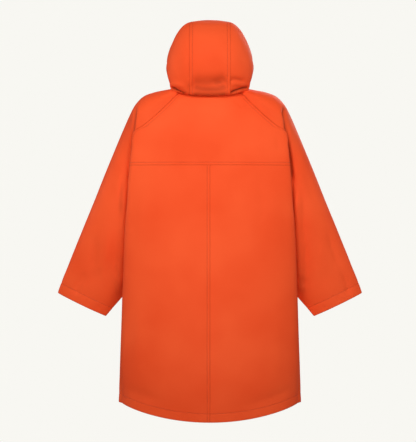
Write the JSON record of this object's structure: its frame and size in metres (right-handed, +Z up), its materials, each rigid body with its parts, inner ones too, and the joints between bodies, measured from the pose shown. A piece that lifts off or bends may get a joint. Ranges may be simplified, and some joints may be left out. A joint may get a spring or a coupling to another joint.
{
  "type": "hooded parka",
  "caption": "Hooded raglan parka, knee length, filled out as when worn: back yoke, centre-back seam, curved hem, wide sleeves, press-stud front.",
  "frame": {"origin": "middle of the neck opening, level with the base of the wearer's neck", "axes": "+Z up, -Y to the front, +X to the wearer's left"},
  "size_m": [0.9436, 0.2926, 1.214],
  "materials": {
    "coated_cloth": "matt rubberised cotton, orange-red",
    "stud_cap": "satin lacquered cap, orange-red"
  },
  "bodies": {
    "root": {"back_yoke": "coated_cloth", "back_left": "coated_cloth", "back_right": "coated_cloth", "front_left": "coated_cloth", "front_right": "coated_cloth", "sleeve_left_back": "coated_cloth", "sleeve_left_front": "coated_cloth", "sleeve_right_back": "coated_cloth", "sleeve_right_front": "coated_cloth", "hood_center": "coated_cloth", "hood_left": "coated_cloth", "hood_right": "coated_cloth", "stud_1": "stud_cap", "stud_2": "stud_cap", "stud_3": "stud_cap", "stud_4": "stud_cap", "stud_5": "stud_cap", "stud_6": "stud_cap", "stud_7": "stud_cap"}
  },
  "joints": []
}
